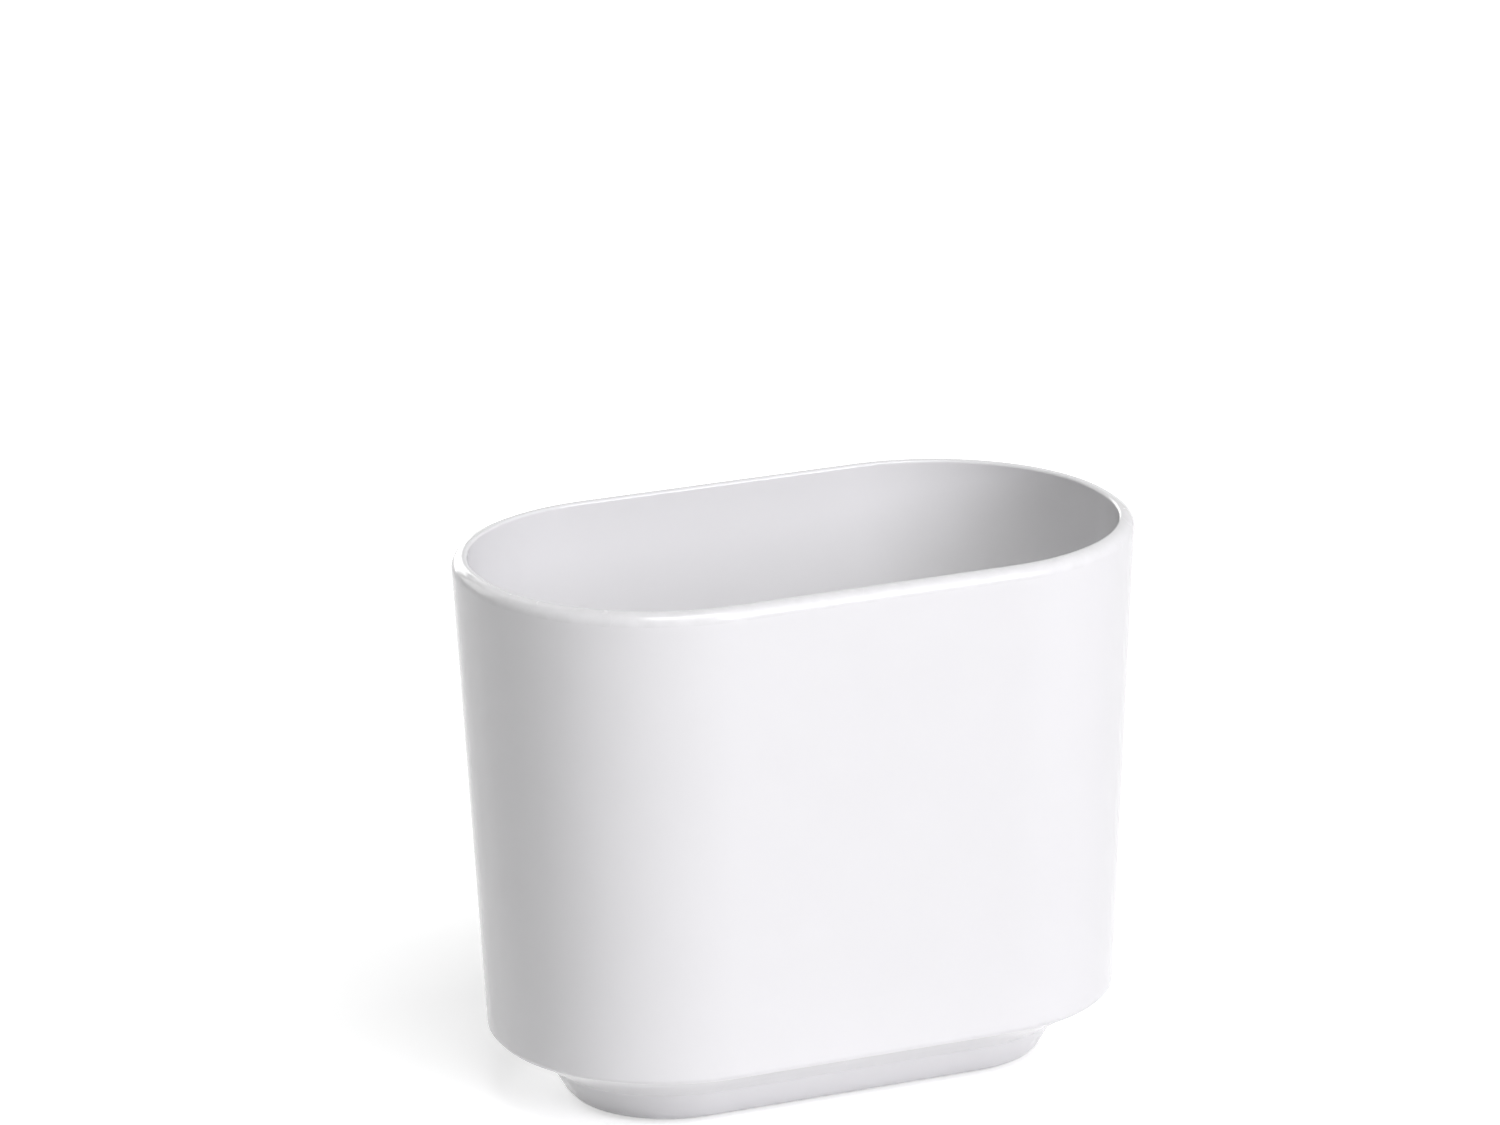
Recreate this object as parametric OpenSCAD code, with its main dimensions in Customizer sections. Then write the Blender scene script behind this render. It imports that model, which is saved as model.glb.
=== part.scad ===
// Toothbrush holder: one moulded cup with a stepped foot, standing on four soft pads.
// Frame: origin on the standing surface under the middle of the cup.
// X is the long way, the broad front faces -Y and Z is up.

/* [Cup outside] */
// Length over the rim
cup_l = 118; // [100:1:180]
// Width over the rim
cup_w = 70; // [64:1:100]
// Height from the standing surface to the top of the rim
cup_h = 95; // [70:1:140]
// Straight stretch in the middle of each end, between its two round corners
end_flat = 2; // [1:0.5:12]
// Draft of the outer wall, in degrees from upright
wall_draft = 2.8; // [1:0.1:4]
// Radius of the body's lower edge, above the step
body_edge_r = 1.2; // [0.6:0.1:2.5]

/* [Foot] */
// Height of the foot's wall, from its underside up to its crease with the step
foot_h = 5.6; // [4:0.1:12]
// How far the foot's top is set in from the body's lower edge
foot_inset = 9.9; // [8:0.1:13]
// Draft of the foot's wall, in degrees from upright
foot_draft = 30; // [15:0.5:38]
// Radius of the hollow crease between the foot and the step
foot_neck_r = 1.5; // [0.5:0.5:6]
// Radius of the foot's lower edge
foot_edge_r = 2; // [1:0.2:3]

/* [Step] */
// Rise of the slanting step, from the foot's crease up to the body's underside
step_rise = 5.5; // [3:0.1:8]
// Width of the flat lip between the body's rounded lower edge and the step
lip_w = 0.2; // [0.1:0.1:1.5]

/* [Rim] */
// Radius of the rim's outer edge
rim_outer_r = 2; // [0.8:0.1:2.5]
// Radius of the rim's inner edge
rim_inner_r = 0.5; // [0.3:0.1:1.5]
// Flat left on top of the rim, between its two edges
rim_flat = 0.2; // [0.1:0.1:1.5]

/* [Wall and inside] */
// Thickness of the wall at its foot, level with the body's underside
low_wall = 3; // [2.6:0.1:4]
// Thickness of the slanting ledge over the step and of the foot's wall
ledge_t = 3; // [2.4:0.1:4]
// Thickness of the floor inside the foot
floor_t = 3.2; // [2.6:0.1:5]
// Radius where the inner wall meets the ledge
ledge_corner_r = 2.5; // [1:0.5:4]
// Radius of the ledge's brow, where it turns down into the foot
ledge_brow_r = 4.5; // [2:0.5:6]
// Radius where the foot's inner wall meets the floor
floor_corner_r = 3; // [1:0.5:4]

/* [Underside] */
// Width of the flat land round the underside's shallow recess
land_w = 2.4; // [1.5:0.1:4]
// Depth of the shallow recess in the underside
recess_d = 0.8; // [0.4:0.1:1.2]

/* [Pads] */
// Diameter of a soft pad
pad_d = 6; // [4:0.5:11]
// How far a pad stands proud of the foot's underside
pad_proud = 0.5; // [0.3:0.1:1.2]
// Depth of the round seat that locates a pad in the recess
pad_seat_d = 0.4; // [0.2:0.1:0.8]
// Gap round a pad in its seat
pad_gap = 0.1; // [0.05:0.05:0.3]
// Radius of a pad's lower edge
pad_edge_r = 0.5; // [0.2:0.1:0.8]
// Flat left between a pad's seat and the recess's long edge
pad_margin = 1.4; // [0.8:0.2:3]

/* [Hidden] */

// Overrun of every cut past the face that it opens
over = 1;
// Round pieces: the plan's corners, the section's edges and the pads
$fn = 64;
edge_fn = 40;
// How far an arc's piece laps into the material beside it, as a share of the arc's radius
lap_share = 0.1;

// The plan is a rectangle rounded by corner_r; its corner centres stand at core_x and core_y
corner_r = (cup_w - end_flat) / 2;
core_x = cup_l / 2 - corner_r;
core_y = end_flat / 2;

// Levels, from the standing surface up
foot_z = pad_proud;
neck_z = foot_z + foot_h;
body_z = neck_z + step_rise;
floor_z = foot_z + floor_t;
recess_z = foot_z + recess_d;
seat_z = recess_z + pad_seat_d;

// Radii about a corner centre at those levels, before any edge is rounded.
// The outer wall leans out a little past the rim's widest point, where the rim's edge rounds it off.
rim_line_r = corner_r + rim_outer_r * (tan(wall_draft) + 1 / cos(wall_draft) - 1);
body_low_r = rim_line_r - (cup_h - body_z) * tan(wall_draft);
lip_r = body_low_r - body_edge_r * tan(45 - wall_draft / 2) - lip_w;
foot_top_r = body_low_r - foot_inset;
foot_low_r = foot_top_r - foot_h * tan(foot_draft);
rim_in_r = rim_line_r - rim_outer_r - rim_flat - rim_inner_r;
recess_r = foot_low_r - foot_edge_r * tan(45 - foot_draft / 2) - land_w;

// The inside follows the step and the foot's wall at the ledge's thickness.
// The two inner faces meet at the ledge's brow, whose place is given from the foot's outer crease.
step_slope = atan(step_rise / (lip_r - foot_top_r));
step_shell = ledge_t / cos(step_slope);
foot_shell = ledge_t / cos(foot_draft);
brow_in = (foot_shell - step_shell * tan(foot_draft)) / (1 - tan(step_slope) * tan(foot_draft));
brow_r = foot_top_r - brow_in;
brow_z = neck_z + step_shell - brow_in * tan(step_slope);
ledge_out_r = body_low_r - low_wall;
ledge_out_z = neck_z + step_shell + (ledge_out_r - foot_top_r) * tan(step_slope);
floor_out_r = brow_r - (brow_z - floor_z) * tan(foot_draft);

// A pad's centre, abreast of the plan's corner centres and just inside the recess's long edge
pad_x = core_x;
pad_y = core_y + recess_r - pad_margin - pad_gap - pad_d / 2;

// Corners of the wall's half section, counter-clockwise: [out from the core, height, edge radius]
SECTION = [
    [0, foot_z, 0],
    [foot_low_r, foot_z, foot_edge_r],
    [foot_top_r, neck_z, foot_neck_r],
    [lip_r, body_z, 0],
    [body_low_r, body_z, body_edge_r],
    [rim_line_r, cup_h, rim_outer_r],
    [rim_in_r, cup_h, rim_inner_r],
    [ledge_out_r, ledge_out_z, ledge_corner_r],
    [brow_r, brow_z, ledge_brow_r],
    [floor_out_r, floor_z, floor_corner_r],
    [0, floor_z, 0]
];

function point(c) = [c[0], c[1]];
function unit(v) = v / norm(v);
function turn(a, b) = a[0] * b[1] - a[1] * b[0];

// Corner i of an outline, with its two directions, half angle and the run to its tangent points
function before(o, i) = unit(point(o[(i + len(o) - 1) % len(o)]) - point(o[i]));
function after(o, i) = unit(point(o[(i + 1) % len(o)]) - point(o[i]));
function half_angle(o, i) = acos(before(o, i) * after(o, i)) / 2;
function run(o, i) = o[i][2] / tan(half_angle(o, i));
function bulges(o, i) = turn(before(o, i), after(o, i)) < 0;
function start_point(o, i) = point(o[i]) + before(o, i) * run(o, i);
function end_point(o, i) = point(o[i]) + after(o, i) * run(o, i);
function to_centre(o, i) = unit(before(o, i) + after(o, i));
function arc_centre(o, i) = point(o[i]) + to_centre(o, i) * o[i][2] / sin(half_angle(o, i));
function chord_middle(o, i) = (start_point(o, i) + end_point(o, i)) / 2;

// The piece of an outline between a corner's chord or point and its arc.
// It laps a little into the material beside it, so that the two join as one.
module arc_piece(o, i) {
    lap = to_centre(o, i) * o[i][2] * lap_share;
    if (bulges(o, i)) {
        intersection() {
            polygon([start_point(o, i), point(o[i]), end_point(o, i), chord_middle(o, i) + lap]);
            translate(arc_centre(o, i)) circle(r = o[i][2], $fn = edge_fn);
        }
    } else {
        difference() {
            polygon([start_point(o, i), point(o[i]) - lap, end_point(o, i)]);
            translate(arc_centre(o, i)) circle(r = o[i][2], $fn = edge_fn);
        }
    }
}

// The straight-sided outline under the arcs: outer corners are cut to their chords, hollow ones kept
function chorded(o, i) =
    o[i][2] == 0 ? [point(o[i])]
    : bulges(o, i) ? [start_point(o, i), end_point(o, i)]
    : [start_point(o, i), point(o[i]), end_point(o, i)];

// An outline with true arcs
module rounded_outline(o) {
    polygon([for (i = [0 : len(o) - 1]) each chorded(o, i)]);
    for (i = [0 : len(o) - 1])
        if (o[i][2] > 0) arc_piece(o, i);
}

module wall_section() {
    rounded_outline(SECTION);
}

// The half section carried along a straight of the given length, centred on the origin
module straight_wall(length) {
    rotate([90, 0, 0]) linear_extrude(height = length, center = true) wall_section();
}

// The half section carried round the whole plan.
// The floor's middle reaches half the recess's radius past the core on every side, inside the floor.
module moulded_shell() {
    for (side = [-1, 1]) {
        translate([side * core_x, 0, 0]) rotate([0, 0, 90 - side * 90]) straight_wall(2 * core_y);
        translate([0, side * core_y, 0]) rotate([0, 0, side * 90]) straight_wall(2 * core_x);
    }
    for (k = [0 : 3])
        translate([(k == 0 || k == 3 ? 1 : -1) * core_x, (k < 2 ? 1 : -1) * core_y, 0])
            rotate([0, 0, 90 * k]) rotate_extrude(angle = 90) wall_section();
    translate([0, 0, foot_z]) linear_extrude(height = floor_t)
        square([2 * core_x + recess_r, 2 * core_y + recess_r], center = true);
}

// Plan of the underside's recess: the foot's underside drawn in by the land
module recess_plan() {
    square([2 * core_x, 2 * (core_y + recess_r)], center = true);
    square([2 * (core_x + recess_r), 2 * core_y], center = true);
    for (x = [-core_x, core_x], y = [-core_y, core_y])
        translate([x, y]) circle(r = recess_r);
}

module cup() {
    color("white") difference() {
        moulded_shell();
        translate([0, 0, foot_z - over]) linear_extrude(height = recess_d + over) recess_plan();
        for (x = [-1, 1], y = [-1, 1])
            translate([x * pad_x, y * pad_y, foot_z - over])
                cylinder(d = pad_d + 2 * pad_gap, h = seat_z - foot_z + over);
    }
}

// A round pad that touches the seat's ceiling and rests on the standing surface
module pad(x_side, y_side) {
    outline = [[0, 0, 0], [pad_d / 2, 0, pad_edge_r], [pad_d / 2, seat_z, 0], [0, seat_z, 0]];
    color("gainsboro")
        translate([x_side * pad_x, y_side * pad_y, 0]) rotate_extrude() rounded_outline(outline);
}

module pad_front_left() { pad(-1, -1); }
module pad_front_right() { pad(1, -1); }
module pad_rear_left() { pad(-1, 1); }
module pad_rear_right() { pad(1, 1); }

cup();
pad_front_left();
pad_front_right();
pad_rear_left();
pad_rear_right();
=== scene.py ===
"""A toothbrush holder: one glossy moulded cup with a stepped foot, on four soft pads.

The frame's cup is replaced by a finer mesh of the same section, carried round the same plan.
The pads stay as they are and get their finish here.
"""

import math
from collections import namedtuple

import bpy
from mathutils import Matrix, Vector


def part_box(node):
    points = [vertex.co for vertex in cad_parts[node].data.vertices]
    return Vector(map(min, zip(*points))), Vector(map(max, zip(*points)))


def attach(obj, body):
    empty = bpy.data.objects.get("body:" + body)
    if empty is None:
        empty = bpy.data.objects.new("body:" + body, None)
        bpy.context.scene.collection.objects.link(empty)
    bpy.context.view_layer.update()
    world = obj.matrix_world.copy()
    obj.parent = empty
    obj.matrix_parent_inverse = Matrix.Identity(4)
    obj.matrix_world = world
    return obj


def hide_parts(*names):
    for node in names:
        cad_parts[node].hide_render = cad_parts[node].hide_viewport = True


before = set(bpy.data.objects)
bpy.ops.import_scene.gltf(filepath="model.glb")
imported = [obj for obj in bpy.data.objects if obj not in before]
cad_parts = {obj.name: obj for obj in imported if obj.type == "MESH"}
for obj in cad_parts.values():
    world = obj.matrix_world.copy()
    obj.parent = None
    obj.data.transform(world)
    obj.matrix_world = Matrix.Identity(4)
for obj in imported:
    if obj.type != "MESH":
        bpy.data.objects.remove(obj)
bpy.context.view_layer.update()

MM = 0.001

# Sizes of the cup, as in the frame
END_FLAT = 2.0 * MM
WALL_DRAFT = math.radians(2.8)
BODY_EDGE = 1.2 * MM
FOOT_HEIGHT = 5.6 * MM
FOOT_INSET = 9.9 * MM
FOOT_DRAFT = math.radians(30.0)
FOOT_NECK = 1.5 * MM
FOOT_EDGE = 2.0 * MM
STEP_RISE = 5.5 * MM
LIP_WIDTH = 0.2 * MM
RIM_OUTER = 2.0 * MM
RIM_INNER = 0.5 * MM
RIM_FLAT = 0.2 * MM
LOW_WALL = 3.0 * MM
LEDGE_THICK = 3.0 * MM
FLOOR_THICK = 3.2 * MM
LEDGE_CORNER = 2.5 * MM
LEDGE_BROW = 4.5 * MM
FLOOR_CORNER = 3.0 * MM
LAND_WIDTH = 2.4 * MM
RECESS_DEPTH = 0.8 * MM
PAD_GAP = 0.1 * MM

# Radii of the small edges that the frame's cup leaves sharp: the lip's and the recess's
LIP_EDGE = 0.1 * MM
RECESS_EDGE = 0.2 * MM

cup_low, cup_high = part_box("cup")
pad_low, pad_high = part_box("pad_rear_right")
CUP_LENGTH = cup_high.x - cup_low.x
CUP_WIDTH = cup_high.y - cup_low.y
CUP_TOP = cup_high.z
FOOT_LEVEL = cup_low.z
SEAT_LEVEL = pad_high.z
PAD_RADIUS = (pad_high.x - pad_low.x) / 2
PAD_X = (pad_low.x + pad_high.x) / 2
PAD_Y = (pad_low.y + pad_high.y) / 2

# The plan: a small core rectangle whose corners are the centres of the round corners
CORNER_RADIUS = (CUP_WIDTH - END_FLAT) / 2
CORE_X = CUP_LENGTH / 2 - CORNER_RADIUS
CORE_Y = END_FLAT / 2

# Fineness of the mesh: steps round a plan corner, an edge and a seat
PLAN_STEPS = 56
EDGE_STEPS = 14
SEAT_STEPS = 64
# How far beside each rounded edge a plain point holds the flat face flat
SUPPORT = 0.35 * MM
# Points closer than this become one
JOIN_DISTANCE = 0.002 * MM
# Shading breaks at sharper bends than this, and follows the large faces by this weight
SHARP_ANGLE = math.radians(32)
FLAT_FACE_WEIGHT = 100

# How far each part of the section gets rubbed in use, from not at all to most
RUB = {
    "floor": 0.1,
    "brow": 0.25,
    "ledge": 0.05,
    "rim inside": 0.5,
    "rim": 0.6,
    "body edge": 0.5,
    "lip": 0.2,
    "foot": 1.0,
    "land": 0.8,
}

# Colours of the two finishes
CLOUD_LIGHT = (0.904, 0.9, 0.908, 1)
CLOUD_DARK = (0.892, 0.888, 0.896, 1)
WORN_WHITE = (0.79, 0.79, 0.79, 1)
FILM_WHITE = (0.83, 0.83, 0.82, 1)
SPECK = (0.55, 0.53, 0.5, 1)
PAD_LIGHT = (0.64, 0.65, 0.66, 1)
PAD_DARK = (0.58, 0.59, 0.6, 1)
PAD_DUST = (0.75, 0.74, 0.72, 1)

# The effects on the moulded white. A scale is the number of patches, cells or lines in a metre.
CLOUDS = {"Scale": 55.0, "Contrast": 2.2}
SMEARS = {"Scale": 140.0, "Contrast": 3.0}
SCRATCHES = {"Scale": 260.0, "Width": 0.012, "Share": 0.47}
WEAR = {"Scale": 420.0, "Least rub": 0.45}
SPECKS = {"Scale": 260.0, "Share": 0.035}
SKIN = {
    "Wave scale": 160.0,
    "Wave height": 0.0015 * MM,
    "Grain scale": 2600.0,
    "Grain height": 0.0001 * MM,
}
SCRATCH_DEPTH = 0.0004 * MM

# The effects on the soft pads
PAD_CLOUDS = {"Scale": 500.0, "Contrast": 2.5}
PAD_SCUFFS = {"Scale": 900.0, "Width": 0.05, "Share": 0.55}
PAD_SPECKS = {"Scale": 1500.0, "Share": 0.12}
PAD_SKIN = {
    "Wave scale": 900.0,
    "Wave height": 0.02 * MM,
    "Grain scale": 6000.0,
    "Grain height": 0.004 * MM,
}

# How strongly each effect takes its own colour where it is full
WORN_COLOUR = 0.5
FILM_COLOUR = 0.35
SPECK_COLOUR = 0.6
PAD_SPECK_COLOUR = 0.5

# The roughness of the clean finishes, and what each effect adds where it is full
CLEAN_ROUGHNESS = 0.075
SMEAR_ROUGHNESS = 0.05
SCRATCH_ROUGHNESS = 0.12
WORN_ROUGHNESS = 0.2
FILM_ROUGHNESS = 0.22
PAD_ROUGHNESS = 0.5
PAD_CLOUD_ROUGHNESS = 0.1
PAD_SCUFF_ROUGHNESS = 0.12

# The dried film inside: the height at which it has thinned out, the height below which it is
# full, and how far upwards a face has to look to hold it
FILM_TOP = 16.0 * MM
FILM_FULL = 6.0 * MM
FILM_SLOPE = 0.05

# How many finer layers each noise has
MOTTLE_DETAIL = 3.0
WEAR_DETAIL = 4.0
WAVE_DETAIL = 1.0
GRAIN_DETAIL = 2.0

# The two ways that wiping goes: how the pattern is turned, and how it is drawn out into lines
WIPES = (
    {"Rotation": (0.3, 0.5, 0.2), "Scale": (1.0, 0.06, 1.0)},
    {"Rotation": (-0.6, 0.2, 1.1), "Scale": (0.08, 1.0, 1.0)},
)
# How coarse the patches of scratches are, as a share of the scratches' own scale
SCRATCH_PATCH_SHARE = 0.4
# How much the noise breaks up the wear's edge, and where past the least rub it starts and is full
WEAR_BREAKUP = 0.7
WEAR_START = 0.35
WEAR_FULL = 0.75
# Radius of the largest speck, as a share of its cell
SPECK_SHARE = 0.22

Corner = namedtuple("Corner", "out up radius rub")


def section_corners():
    """Corners of the wall's half section from the floor inside, over the rim, to the underside.

    Each has its distance out from the core, its height, its edge radius and how far it gets rubbed.
    """
    neck = FOOT_LEVEL + FOOT_HEIGHT
    body = neck + STEP_RISE
    floor = FOOT_LEVEL + FLOOR_THICK
    recess = FOOT_LEVEL + RECESS_DEPTH
    slope, foot_slope = math.tan(WALL_DRAFT), math.tan(FOOT_DRAFT)
    rim_line = CORNER_RADIUS + RIM_OUTER * (slope + 1 / math.cos(WALL_DRAFT) - 1)
    rim_in = rim_line - RIM_OUTER - RIM_FLAT - RIM_INNER
    body_low = rim_line - (CUP_TOP - body) * slope
    lip = body_low - BODY_EDGE * math.tan((math.pi / 2 - WALL_DRAFT) / 2) - LIP_WIDTH
    foot_top = body_low - FOOT_INSET
    foot_low = foot_top - FOOT_HEIGHT * foot_slope
    recess_out = foot_low - FOOT_EDGE * math.tan((math.pi / 2 - FOOT_DRAFT) / 2) - LAND_WIDTH

    # Inside, the ledge and the foot's wall follow the step and the foot at one thickness
    step_slope = STEP_RISE / (lip - foot_top)
    step_shell = LEDGE_THICK * math.hypot(1, step_slope)
    foot_shell = LEDGE_THICK / math.cos(FOOT_DRAFT)
    brow_in = (foot_shell - step_shell * foot_slope) / (1 - step_slope * foot_slope)
    brow = foot_top - brow_in
    brow_level = neck + step_shell - brow_in * step_slope
    ledge_out = body_low - LOW_WALL
    ledge_level = neck + step_shell + (ledge_out - foot_top) * step_slope
    floor_out = brow - (brow_level - floor) * foot_slope
    return [
        Corner(0, floor, 0, 0),
        Corner(floor_out, floor, FLOOR_CORNER, RUB["floor"]),
        Corner(brow, brow_level, LEDGE_BROW, RUB["brow"]),
        Corner(ledge_out, ledge_level, LEDGE_CORNER, RUB["ledge"]),
        Corner(rim_in, CUP_TOP, RIM_INNER, RUB["rim inside"]),
        Corner(rim_line, CUP_TOP, RIM_OUTER, RUB["rim"]),
        Corner(body_low, body, BODY_EDGE, RUB["body edge"]),
        Corner(lip, body, LIP_EDGE, RUB["lip"]),
        Corner(foot_top, neck, FOOT_NECK, 0),
        Corner(foot_low, FOOT_LEVEL, FOOT_EDGE, RUB["foot"]),
        Corner(recess_out, FOOT_LEVEL, RECESS_EDGE, RUB["land"]),
        Corner(recess_out, recess, RECESS_EDGE, 0),
        Corner(0, recess, 0, 0),
    ]


def with_supports(corners):
    """Adds a plain point on each side of every rounded edge, where the stretch has room for it."""
    points = [Vector((c.out, c.up)) for c in corners]

    def run(i):
        if corners[i].radius == 0:
            return 0
        back = (points[i - 1] - points[i]).normalized()
        on = (points[i + 1] - points[i]).normalized()
        return corners[i].radius / math.tan(back.angle(on) / 2)

    line = []
    for i, corner in enumerate(corners):
        line.append(corner)
        if i + 1 == len(corners):
            break
        stretch = points[i + 1] - points[i]
        ends = [run(i) + SUPPORT, stretch.length - run(i + 1) - SUPPORT]
        if ends[1] - ends[0] > SUPPORT:
            for distance, round_end in zip(ends, (corner, corners[i + 1])):
                if round_end.radius > 0:
                    place = points[i] + stretch.normalized() * distance
                    line.append(Corner(place.x, place.y, 0, 0))
    return line


def section_line(name, corners):
    """The section as a wire in the XZ plane, with each corner's edge radius and rub kept on it."""
    mesh = bpy.data.meshes.new(name)
    points = [(c.out, 0, c.up) for c in corners]
    mesh.from_pydata(points, [(i, i + 1) for i in range(len(points) - 1)], [])
    for attribute, values in (
        ("edge_radius", [c.radius for c in corners]),
        ("rub", [c.rub for c in corners]),
    ):
        mesh.attributes.new(attribute, "FLOAT", "POINT").data.foreach_set("value", values)
    line = bpy.data.objects.new(name, mesh)
    bpy.context.scene.collection.objects.link(line)
    return line


class Tree:
    """A node tree under construction, with short ways to place and join nodes."""

    def __init__(self, name, kind):
        self.tree = bpy.data.node_groups.new(name, kind)
        self.start = self.tree.nodes.new("NodeGroupInput")
        self.end = self.tree.nodes.new("NodeGroupOutput")

    def takes(self, name, kind):
        """A named input of the tree."""
        self.tree.interface.new_socket(name=name, in_out="INPUT", socket_type=kind)
        return self.start.outputs[name]

    def gives(self, name, kind, source):
        """A named output of the tree, and what it puts out."""
        self.tree.interface.new_socket(name=name, in_out="OUTPUT", socket_type=kind)
        self.tree.links.new(source, self.end.inputs[name])

    def add(self, kind, inputs=None, **settings):
        return add_node(self.tree, kind, inputs, **settings)

    def math(self, operation, *values, clamp=False):
        inputs = dict(enumerate(values))
        return self.add("ShaderNodeMath", inputs, operation=operation, use_clamp=clamp).outputs[0]

    def whole(self, operation, *values):
        """Arithmetic on whole numbers."""
        inputs = dict(enumerate(values))
        return self.add("FunctionNodeIntegerMath", inputs, operation=operation).outputs[0]


def add_node(tree, kind, inputs=None, **settings):
    """A node with its settings made, and each input given a value or joined to a socket."""
    node = tree.nodes.new(kind)
    for setting, value in settings.items():
        setattr(node, setting, value)
    for key, value in (inputs or {}).items():
        for one in value if isinstance(value, list) else [value]:
            if isinstance(one, bpy.types.NodeSocket):
                tree.links.new(one, node.inputs[key])
            else:
                node.inputs[key].default_value = one
    return node


def corner_centre(t, corner, core_x, core_y):
    """The centre of plan corner 0 to 3, counted anticlockwise from the one at +X and +Y.

    Corners 1 and 2 are the ones at -X, and corners 2 and 3 the ones at -Y.
    """
    at_left = t.math("COMPARE", corner, 1.5, 0.6)
    at_front = t.math("COMPARE", corner, 2.5, 0.6)
    x = t.math("MULTIPLY", t.math("MULTIPLY_ADD", at_left, -2.0, 1.0), core_x)
    y = t.math("MULTIPLY", t.math("MULTIPLY_ADD", at_front, -2.0, 1.0), core_y)
    return x, y


def cup_tree():
    """Carries a rounded section round the plan, closes its middle and sinks the pads' seats."""
    t = Tree("carry_section_round_plan", "GeometryNodeTree")
    section = t.takes("Section", "NodeSocketGeometry")
    core_x = t.takes("Core half length", "NodeSocketFloat")
    core_y = t.takes("Core half width", "NodeSocketFloat")
    plan_steps = t.takes("Steps per plan corner", "NodeSocketInt")
    edge_steps = t.takes("Steps per edge", "NodeSocketInt")
    seat_steps = t.takes("Steps per seat", "NodeSocketInt")
    join = t.takes("Join distance", "NodeSocketFloat")
    floor_level = t.takes("Floor level", "NodeSocketFloat")
    recess_level = t.takes("Recess level", "NodeSocketFloat")
    seat_level = t.takes("Seat level", "NodeSocketFloat")
    seat_radius = t.takes("Seat radius", "NodeSocketFloat")
    seat_x = t.takes("Seat X", "NodeSocketFloat")
    seat_y = t.takes("Seat Y", "NodeSocketFloat")
    sharp = t.takes("Sharp angle", "NodeSocketFloat")
    material = t.takes("Material", "NodeSocketMaterial")

    # The section with its edges rounded, one control point after another
    curve = t.add("GeometryNodeMeshToCurve", {"Mesh": section}).outputs["Curve"]
    radius = t.add("GeometryNodeInputNamedAttribute", {"Name": "edge_radius"}, data_type="FLOAT")
    rounded = t.add(
        "GeometryNodeFilletCurve",
        {"Curve": curve, "Count": edge_steps, "Radius": radius.outputs["Attribute"]},
        mode="POLY",
    ).outputs["Curve"]
    size = t.add("GeometryNodeAttributeDomainSize", {"Geometry": rounded}, component="CURVE")
    section_count = size.outputs["Point Count"]

    # A sheet of points: one column for each place on the section, one row for each place on the plan
    corner_rows = t.whole("ADD", plan_steps, 1)
    rows = t.whole("ADD", t.whole("MULTIPLY", corner_rows, 4), 1)
    sheet = t.add("GeometryNodeMeshGrid", {"Vertices X": section_count, "Vertices Y": rows})
    index = t.add("GeometryNodeInputIndex").outputs[0]
    column = t.whole("DIVIDE_FLOOR", index, rows)
    row = t.whole("MODULO", index, rows)
    corner = t.whole("MODULO", t.whole("DIVIDE_FLOOR", row, corner_rows), 4)
    step = t.whole("MODULO", row, corner_rows)
    turned = t.math("ADD", corner, t.math("DIVIDE", step, plan_steps))
    angle = t.math("MULTIPLY", turned, math.pi / 2)

    # Each point's place
    place = t.add("GeometryNodeInputPosition").outputs[0]
    on_section = t.add(
        "GeometryNodeSampleIndex",
        {"Geometry": rounded, "Index": column},
        data_type="FLOAT_VECTOR",
    )
    t.tree.links.new(place, on_section.inputs["Value"])
    parts = t.add("ShaderNodeSeparateXYZ", {0: on_section.outputs["Value"]})
    centre_x, centre_y = corner_centre(t, corner, core_x, core_y)
    x = t.math("MULTIPLY_ADD", parts.outputs["X"], t.math("COSINE", angle), centre_x)
    y = t.math("MULTIPLY_ADD", parts.outputs["X"], t.math("SINE", angle), centre_y)
    target = t.add("ShaderNodeCombineXYZ", {"X": x, "Y": y, "Z": parts.outputs["Z"]})
    shell = t.add(
        "GeometryNodeSetPosition",
        {"Geometry": sheet.outputs["Mesh"], "Position": target.outputs[0]},
    ).outputs[0]

    # How far each place gets rubbed, carried over from the section
    rub = t.add("GeometryNodeInputNamedAttribute", {"Name": "rub"}, data_type="FLOAT")
    rub_there = t.add(
        "GeometryNodeSampleIndex",
        {"Geometry": rounded, "Index": column},
        data_type="FLOAT",
    )
    t.tree.links.new(rub.outputs["Attribute"], rub_there.inputs["Value"])
    shell = t.add(
        "GeometryNodeStoreNamedAttribute",
        {"Geometry": shell, "Name": "rub", "Value": rub_there.outputs["Value"]},
        data_type="FLOAT",
        domain="POINT",
    ).outputs[0]

    # The middle of the floor and of the underside
    middle = t.add(
        "GeometryNodeMeshGrid",
        {
            "Size X": t.math("MULTIPLY", core_x, 2.0),
            "Size Y": t.math("MULTIPLY", core_y, 2.0),
            "Vertices X": 2,
            "Vertices Y": 2,
        },
    ).outputs["Mesh"]
    middles = []
    for level, faces in (
        (floor_level, middle),
        (recess_level, t.add("GeometryNodeFlipFaces", {"Mesh": middle}).outputs[0]),
    ):
        lift = t.add("ShaderNodeCombineXYZ", {"Z": level}).outputs[0]
        moved = t.add("GeometryNodeTransform", {"Geometry": faces, "Translation": lift})
        middles.append(moved.outputs[0])
    whole = t.add("GeometryNodeJoinGeometry", {0: [shell, *middles]}).outputs[0]
    closed = t.add("GeometryNodeMergeByDistance", {"Geometry": whole, "Distance": join}).outputs[0]

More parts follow.
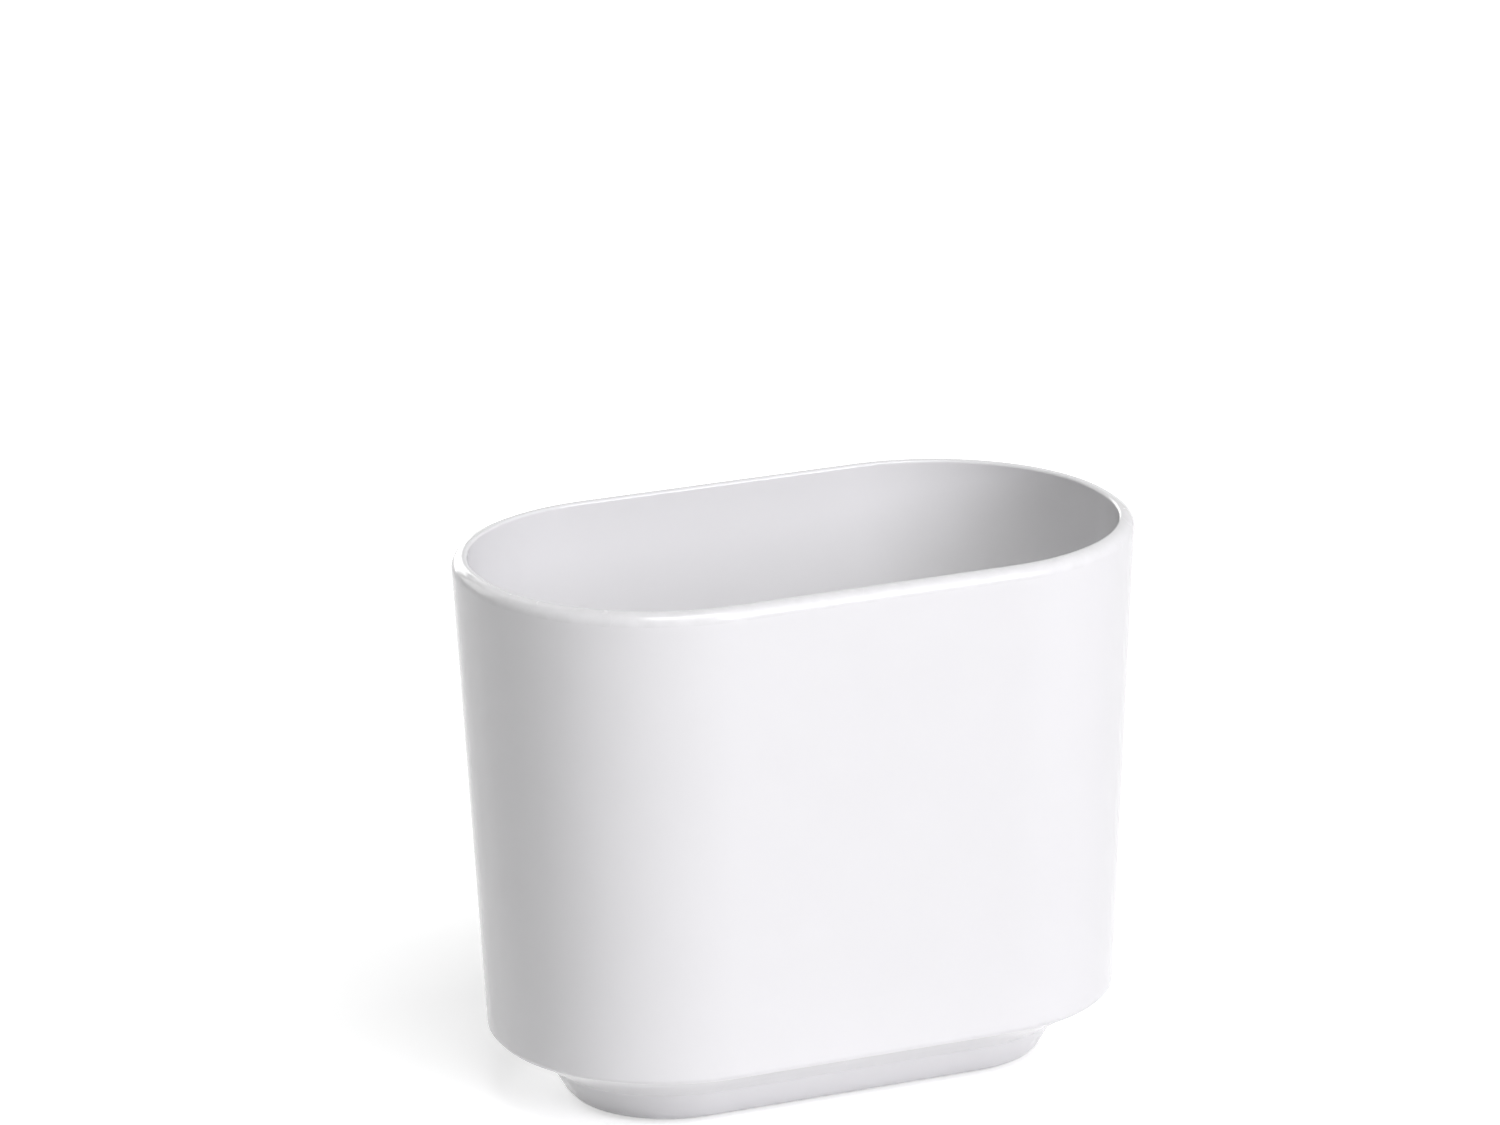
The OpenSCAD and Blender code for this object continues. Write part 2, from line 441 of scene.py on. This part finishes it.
    # Round seats for the pads. Each drill is centred on the standing surface, so half of it cuts.
    spots = t.add(
        "GeometryNodeMeshGrid",
        {
            "Size X": t.math("MULTIPLY", seat_x, 2.0),
            "Size Y": t.math("MULTIPLY", seat_y, 2.0),
            "Vertices X": 2,
            "Vertices Y": 2,
        },
    ).outputs["Mesh"]
    depth = t.math("MULTIPLY", seat_level, 2.0)
    drill = t.add(
        "GeometryNodeMeshCylinder",
        {"Vertices": seat_steps, "Radius": seat_radius, "Depth": depth},
    ).outputs["Mesh"]
    drills = t.add("GeometryNodeInstanceOnPoints", {"Points": spots, "Instance": drill}).outputs[0]
    drills = t.add("GeometryNodeRealizeInstances", {"Geometry": drills}).outputs[0]
    seated = t.add(
        "GeometryNodeMeshBoolean",
        {"Mesh 1": closed, "Mesh 2": drills},
        operation="DIFFERENCE",
        solver="EXACT",
    ).outputs["Mesh"]

    # Smooth everywhere but across hard edges
    smooth = t.add("GeometryNodeSetShadeSmooth", {"Geometry": seated}, domain="FACE").outputs[0]
    bend = t.add("GeometryNodeInputMeshEdgeAngle").outputs["Unsigned Angle"]
    hard = t.math("GREATER_THAN", bend, sharp)
    creased = t.add(
        "GeometryNodeSetShadeSmooth",
        {"Geometry": smooth, "Selection": hard, "Shade Smooth": False},
        domain="EDGE",
    ).outputs[0]
    real = t.add("GeometryNodeRealizeInstances", {"Geometry": creased}).outputs[0]
    finished = t.add("GeometryNodeSetMaterial", {"Geometry": real, "Material": material})
    t.gives("Cup", "NodeSocketGeometry", finished.outputs[0])
    return t.tree


def set_inputs(modifier, tree, values):
    """Gives a modifier's inputs their values by the sockets' identifiers."""
    for item in tree.interface.items_tree:
        if item.item_type == "SOCKET" and item.in_out == "INPUT" and item.name in values:
            modifier[item.identifier] = values[item.name]


def make_cup(name, material):
    """The cup as a plain mesh, worked out by the tree from the section."""
    corners = section_corners()
    line = section_line("cup_section", with_supports(corners))
    tree = cup_tree()
    modifier = line.modifiers.new("carry", "NODES")
    modifier.node_group = tree
    sizes = {
        "Core half length": CORE_X,
        "Core half width": CORE_Y,
        "Steps per plan corner": PLAN_STEPS,
        "Steps per edge": EDGE_STEPS,
        "Steps per seat": SEAT_STEPS,
        "Join distance": JOIN_DISTANCE,
        "Floor level": corners[0].up,
        "Recess level": corners[-1].up,
        "Seat level": SEAT_LEVEL,
        "Seat radius": PAD_RADIUS + PAD_GAP,
        "Seat X": PAD_X,
        "Seat Y": PAD_Y,
        "Sharp angle": SHARP_ANGLE,
        "Material": material,
    }
    set_inputs(modifier, tree, sizes)
    weighted = line.modifiers.new("flat_faces_lead", "WEIGHTED_NORMAL")
    weighted.keep_sharp = True
    weighted.weight = FLAT_FACE_WEIGHT
    depsgraph = bpy.context.evaluated_depsgraph_get()
    mesh = bpy.data.meshes.new_from_object(line.evaluated_get(depsgraph))
    mesh.name = name
    mesh.materials.clear()
    mesh.materials.append(material)
    mesh.polygons.foreach_set("material_index", [0] * len(mesh.polygons))
    bpy.data.objects.remove(line)
    cup = bpy.data.objects.new(name, mesh)
    bpy.context.scene.collection.objects.link(cup)
    return cup


def cloudy_mottle():
    """Soft patches about 1 over the scale across, from 0 to 1 round a half."""
    t = Tree("cloudy_mottle", "ShaderNodeTree")
    place = t.takes("Place", "NodeSocketVector")
    scale = t.takes("Scale", "NodeSocketFloat")
    contrast = t.takes("Contrast", "NodeSocketFloat")
    noise = t.add("ShaderNodeTexNoise", {"Vector": place, "Scale": scale, "Detail": MOTTLE_DETAIL})
    centred = t.math("SUBTRACT", noise.outputs[0], 0.5)
    t.gives("Mask", "NodeSocketFloat", t.math("MULTIPLY_ADD", centred, contrast, 0.5, clamp=True))
    return t.tree


def hairline_scratches():
    """Sparse fine lines in two directions, as wiping leaves them, with 1 on a line."""
    t = Tree("hairline_scratches", "ShaderNodeTree")
    place = t.takes("Place", "NodeSocketVector")
    scale = t.takes("Scale", "NodeSocketFloat")
    width = t.takes("Width", "NodeSocketFloat")
    share = t.takes("Share", "NodeSocketFloat")
    layers = []
    for wipe in WIPES:
        turned = t.add("ShaderNodeMapping", {"Vector": place, **wipe})
        cells = t.add(
            "ShaderNodeTexVoronoi",
            {"Vector": turned.outputs[0], "Scale": scale},
            feature="DISTANCE_TO_EDGE",
        )
        line = t.add(
            "ShaderNodeMapRange",
            {"Value": cells.outputs["Distance"], "From Max": width, "To Min": 1.0, "To Max": 0.0},
        )
        layers.append(line.outputs[0])
    patch_scale = t.math("MULTIPLY", scale, SCRATCH_PATCH_SHARE)
    patches = t.add("ShaderNodeTexNoise", {"Vector": place, "Scale": patch_scale})
    present = t.math("LESS_THAN", patches.outputs[0], share)
    both = t.math("MAXIMUM", *layers)
    t.gives("Mask", "NodeSocketFloat", t.math("MULTIPLY", both, present))
    return t.tree


def rubbed_edges():
    """Where an edge is worn: how far each place gets rubbed, with noise to break up the wear."""
    t = Tree("rubbed_edges", "ShaderNodeTree")
    place = t.takes("Place", "NodeSocketVector")
    rub = t.takes("Rub", "NodeSocketFloat")
    scale = t.takes("Scale", "NodeSocketFloat")
    least = t.takes("Least rub", "NodeSocketFloat")
    noise = t.add("ShaderNodeTexNoise", {"Vector": place, "Scale": scale, "Detail": WEAR_DETAIL})
    broken = t.math("MULTIPLY_ADD", noise.outputs[0], WEAR_BREAKUP, rub)
    start = t.math("ADD", least, WEAR_START)
    full = t.math("ADD", least, WEAR_FULL)
    worn = t.add(
        "ShaderNodeMapRange",
        {"Value": broken, "From Min": start, "From Max": full},
        interpolation_type="SMOOTHSTEP",
    )
    t.gives("Mask", "NodeSocketFloat", worn.outputs[0])
    return t.tree


def moulded_skin():
    """The moulded surface's height in metres: long gentle waves and a very fine grain on them."""
    t = Tree("moulded_skin", "ShaderNodeTree")
    place = t.takes("Place", "NodeSocketVector")
    wave_scale = t.takes("Wave scale", "NodeSocketFloat")
    wave_height = t.takes("Wave height", "NodeSocketFloat")
    grain_scale = t.takes("Grain scale", "NodeSocketFloat")
    grain_height = t.takes("Grain height", "NodeSocketFloat")
    waves = t.add(
        "ShaderNodeTexNoise", {"Vector": place, "Scale": wave_scale, "Detail": WAVE_DETAIL}
    )
    grain = t.add(
        "ShaderNodeTexNoise", {"Vector": place, "Scale": grain_scale, "Detail": GRAIN_DETAIL}
    )
    low = t.math("MULTIPLY", waves.outputs[0], wave_height)
    height = t.math("MULTIPLY_ADD", grain.outputs[0], grain_height, low)
    t.gives("Height", "NodeSocketFloat", height)
    return t.tree


def dust_specks():
    """Scattered specks of random size, with 1 on a speck."""
    t = Tree("dust_specks", "ShaderNodeTree")
    place = t.takes("Place", "NodeSocketVector")
    scale = t.takes("Scale", "NodeSocketFloat")
    share = t.takes("Share", "NodeSocketFloat")
    cells = t.add("ShaderNodeTexVoronoi", {"Vector": place, "Scale": scale})
    chance = t.add("ShaderNodeSeparateColor", {0: cells.outputs["Color"]})
    size = t.math("MULTIPLY", chance.outputs["Green"], SPECK_SHARE)
    near = t.math("LESS_THAN", cells.outputs["Distance"], size)
    there = t.math("LESS_THAN", chance.outputs["Red"], share)
    t.gives("Mask", "NodeSocketFloat", t.math("MULTIPLY", near, there))
    return t.tree


class Finish:
    """A material under construction, with short ways to place effects and to feed its shader."""

    def __init__(self, name, effects):
        self.material = bpy.data.materials.new(name)
        self.material.use_nodes = True
        self.tree = self.material.node_tree
        self.effects = effects
        self.place = self.add("ShaderNodeTexCoord").outputs["Object"]

    def add(self, kind, inputs=None, **settings):
        return add_node(self.tree, kind, inputs, **settings)

    def math(self, operation, *values):
        return self.add("ShaderNodeMath", dict(enumerate(values)), operation=operation).outputs[0]

    def effect(self, name, values):
        """One of the shared effects, placed here with this finish's own values."""
        inputs = {"Place": self.place, **values}
        return self.add("ShaderNodeGroup", inputs, node_tree=self.effects[name]).outputs[0]

    def mix(self, factor, first, second):
        """The first colour where the factor is 0, and the second where it is 1.

        The node's colours are its inputs 6 and 7 and its output 2.
        """
        mixed = self.add("ShaderNodeMix", {0: factor, 6: first, 7: second}, data_type="RGBA")
        return mixed.outputs[2]

    def feed(self, name, source):
        self.tree.links.new(source, self.tree.nodes["Principled BSDF"].inputs[name])

    def feed_relief(self, height):
        """Bends the shader's normals by a height in metres."""
        bump = self.add("ShaderNodeBump", {"Height": height, "Distance": 1.0})
        self.feed("Normal", bump.outputs[0])


def make_moulded_white(effects):
    """Glossy moulded white, faintly clouded and wiped, with its foot and rim a little rubbed."""
    f = Finish("moulded_white", effects)
    rub = f.add("ShaderNodeAttribute", attribute_name="rub").outputs["Fac"]
    clouds = f.effect("cloudy_mottle", CLOUDS)
    smears = f.effect("cloudy_mottle", SMEARS)
    scratches = f.effect("hairline_scratches", SCRATCHES)
    worn = f.effect("rubbed_edges", {"Rub": rub, **WEAR})
    specks = f.effect("dust_specks", SPECKS)
    height = f.effect("moulded_skin", SKIN)

    # A dull film of dried water low down inside, over the floor and up to the ledge
    level = f.add("ShaderNodeSeparateXYZ", {0: f.place}).outputs["Z"]
    low = f.add(
        "ShaderNodeMapRange",
        {"Value": level, "From Min": FILM_TOP, "From Max": FILM_FULL},
        interpolation_type="SMOOTHSTEP",
    ).outputs[0]
    facing = f.add("ShaderNodeNewGeometry").outputs["Normal"]
    upward = f.add("ShaderNodeSeparateXYZ", {0: facing}).outputs["Z"]
    film = f.math("MULTIPLY", low, f.math("GREATER_THAN", upward, FILM_SLOPE))
    film = f.math("MULTIPLY", film, smears)

    white = f.mix(clouds, CLOUD_LIGHT, CLOUD_DARK)
    white = f.mix(f.math("MULTIPLY", worn, WORN_COLOUR), white, WORN_WHITE)
    white = f.mix(f.math("MULTIPLY", film, FILM_COLOUR), white, FILM_WHITE)
    held = f.math("MULTIPLY", specks, f.math("MULTIPLY", film, SPECK_COLOUR))
    f.feed("Base Color", f.mix(held, white, SPECK))

    roughness = f.math("MULTIPLY_ADD", smears, SMEAR_ROUGHNESS, CLEAN_ROUGHNESS)
    roughness = f.math("MULTIPLY_ADD", scratches, SCRATCH_ROUGHNESS, roughness)
    roughness = f.math("MULTIPLY_ADD", worn, WORN_ROUGHNESS, roughness)
    f.feed("Roughness", f.math("MULTIPLY_ADD", film, FILM_ROUGHNESS, roughness))
    f.feed_relief(f.math("MULTIPLY_ADD", scratches, -SCRATCH_DEPTH, height))
    return f.material


def make_soft_grey(effects):
    """Satin soft grey with a fine grain, scuffed and holding a little dust."""
    f = Finish("soft_grey", effects)
    clouds = f.effect("cloudy_mottle", PAD_CLOUDS)
    scuffs = f.effect("hairline_scratches", PAD_SCUFFS)
    specks = f.effect("dust_specks", PAD_SPECKS)
    grey = f.mix(clouds, PAD_LIGHT, PAD_DARK)
    f.feed("Base Color", f.mix(f.math("MULTIPLY", specks, PAD_SPECK_COLOUR), grey, PAD_DUST))
    roughness = f.math("MULTIPLY_ADD", clouds, PAD_CLOUD_ROUGHNESS, PAD_ROUGHNESS)
    f.feed("Roughness", f.math("MULTIPLY_ADD", scuffs, PAD_SCUFF_ROUGHNESS, roughness))
    f.feed_relief(f.effect("moulded_skin", PAD_SKIN))
    return f.material


effects = {
    make.__name__: make()
    for make in (cloudy_mottle, hairline_scratches, rubbed_edges, moulded_skin, dust_specks)
}
cup = make_cup("moulded_cup", make_moulded_white(effects))
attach(cup, "root")
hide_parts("cup")

soft_grey = make_soft_grey(effects)
for name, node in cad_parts.items():
    if name.startswith("pad_"):
        node.data.materials.clear()
        node.data.materials.append(soft_grey)

# The photograph's view: where the camera looks, from where, its slight roll, and its lens and
# sensor in millimetres
AIM = Vector((7.566, 37.768, 78.348)) * MM
AZIMUTH = math.radians(-22.7465)
ELEVATION = math.radians(17.1206)
ROLL = math.radians(-0.9739)
DISTANCE = 1383.67 * MM
LENS = 192.0
SENSOR = 36.0


def direction(azimuth, elevation):
    """From the object towards a place at that azimuth, counted from the front, and elevation."""
    flat = math.cos(elevation)
    return Vector((math.sin(azimuth) * flat, -math.cos(azimuth) * flat, math.sin(elevation)))


def make_camera():
    """The camera, turned about its own line of sight by the roll."""
    back = direction(AZIMUTH, ELEVATION)
    right = (-back).cross(Vector((0, 0, 1))).normalized()
    up = right.cross(-back)
    turned_right = right * math.cos(ROLL) + up * math.sin(ROLL)
    turned_up = up * math.cos(ROLL) - right * math.sin(ROLL)
    camera = bpy.data.objects.new("camera", bpy.data.cameras.new("camera"))
    bpy.context.scene.collection.objects.link(camera)
    camera.data.lens = LENS
    camera.data.sensor_width = SENSOR
    camera.data.sensor_fit = "HORIZONTAL"
    axes = Matrix((turned_right, turned_up, back)).transposed().to_4x4()
    camera.matrix_world = Matrix.Translation(AIM + back * DISTANCE) @ axes
    bpy.context.scene.camera = camera


# The lamps: azimuth and elevation in degrees, width and height in metres, power in watts.
# They all stand at one distance in metres from the cup's middle.
LAMP_DISTANCE = 2.8
Softbox = namedtuple("Softbox", "name azimuth elevation width height power")
SOFTBOXES = [
    Softbox("key_softbox", 25, 20, 1.2, 1.2, 34.0),
    Softbox("front_softbox", 2, 50, 2.6, 1.2, 19.0),
    Softbox("top_softbox", 0, 65, 1.6, 1.2, 31.0),
    Softbox("left_edge_softbox", -150, 20, 1.2, 1.2, 7.0),
    Softbox("rear_left_softbox", -165, 45, 1.2, 1.2, 4.5),
    Softbox("rear_softbox", 178, 12, 1.2, 1.2, 15.0),
]
# The key is tinted a very little towards violet, and the rest are plain white
TINTS = {"key_softbox": (0.98, 0.965, 1.02)}


def make_softbox(box, target):
    """A rectangular lamp that faces the target."""
    light = bpy.data.lights.new(box.name, "AREA")
    light.shape = "RECTANGLE"
    light.size = box.width
    light.size_y = box.height
    light.energy = box.power
    light.color = TINTS.get(box.name, (1.0, 1.0, 1.0))
    lamp = bpy.data.objects.new(box.name, light)
    bpy.context.scene.collection.objects.link(lamp)
    towards = direction(math.radians(box.azimuth), math.radians(box.elevation))
    lamp.location = target + towards * LAMP_DISTANCE
    lamp.rotation_euler = (-towards).to_track_quat("-Z", "Y").to_euler()


# The floor's side in metres, its colour, and how much it is lightened where it is seen
FLOOR_SIDE = 8.0
FLOOR_WHITE = (0.9, 0.9, 0.9, 1)
FLOOR_LIFT = (0.565, 0.565, 0.565, 1)
# The floor lies a hair under the pads, so that their faces don't share its plane
FLOOR_DROP = 0.02 * MM


def seen_directly(tree):
    """One for camera, glossy and transmission rays, nothing for the rest."""
    path = add_node(tree, "ShaderNodeLightPath").outputs
    rays = {0: path["Is Camera Ray"], 1: path["Is Glossy Ray"]}
    first = add_node(tree, "ShaderNodeMath", rays, operation="MAXIMUM").outputs[0]
    rays = {0: first, 1: path["Is Transmission Ray"]}
    return add_node(tree, "ShaderNodeMath", rays, operation="MAXIMUM").outputs[0]


def make_floor():
    """A pale floor, which is lightened only where it is seen and so keeps the cup's shadow."""
    half = FLOOR_SIDE / 2
    mesh = bpy.data.meshes.new("floor")
    corners = [(x * half, y * half, -FLOOR_DROP) for x, y in ((-1, -1), (1, -1), (1, 1), (-1, 1))]
    mesh.from_pydata(corners, [], [(0, 1, 2, 3)])
    floor = bpy.data.objects.new("floor", mesh)
    bpy.context.scene.collection.objects.link(floor)
    material = bpy.data.materials.new("pale_floor")
    material.use_nodes = True
    tree = material.node_tree
    tree.nodes.clear()
    white = add_node(tree, "ShaderNodeBsdfDiffuse", {"Color": FLOOR_WHITE})
    lift = add_node(
        tree, "ShaderNodeEmission", {"Color": FLOOR_LIFT, "Strength": seen_directly(tree)}
    )
    both = add_node(tree, "ShaderNodeAddShader", {0: white.outputs[0], 1: lift.outputs[0]})
    add_node(tree, "ShaderNodeOutputMaterial", {"Surface": both.outputs[0]})
    mesh.materials.append(material)


def make_world():
    """White surroundings that are seen and reflected, and give no light of their own."""
    world = bpy.data.worlds.new("studio")
    world.use_nodes = True
    tree = world.node_tree
    tree.nodes.clear()
    dark = add_node(tree, "ShaderNodeBackground", {"Color": (0, 0, 0, 1)}).outputs[0]
    white = add_node(tree, "ShaderNodeBackground", {"Color": (1, 1, 1, 1)}).outputs[0]
    mix = add_node(tree, "ShaderNodeMixShader", {0: seen_directly(tree), 1: dark, 2: white})
    add_node(tree, "ShaderNodeOutputWorld", {"Surface": mix.outputs[0]})
    bpy.context.scene.world = world


make_camera()
make_floor()
make_world()
for box in SOFTBOXES:
    make_softbox(box, target=(cup_low + cup_high) / 2)

bpy.context.scene.view_settings.view_transform = "Standard"
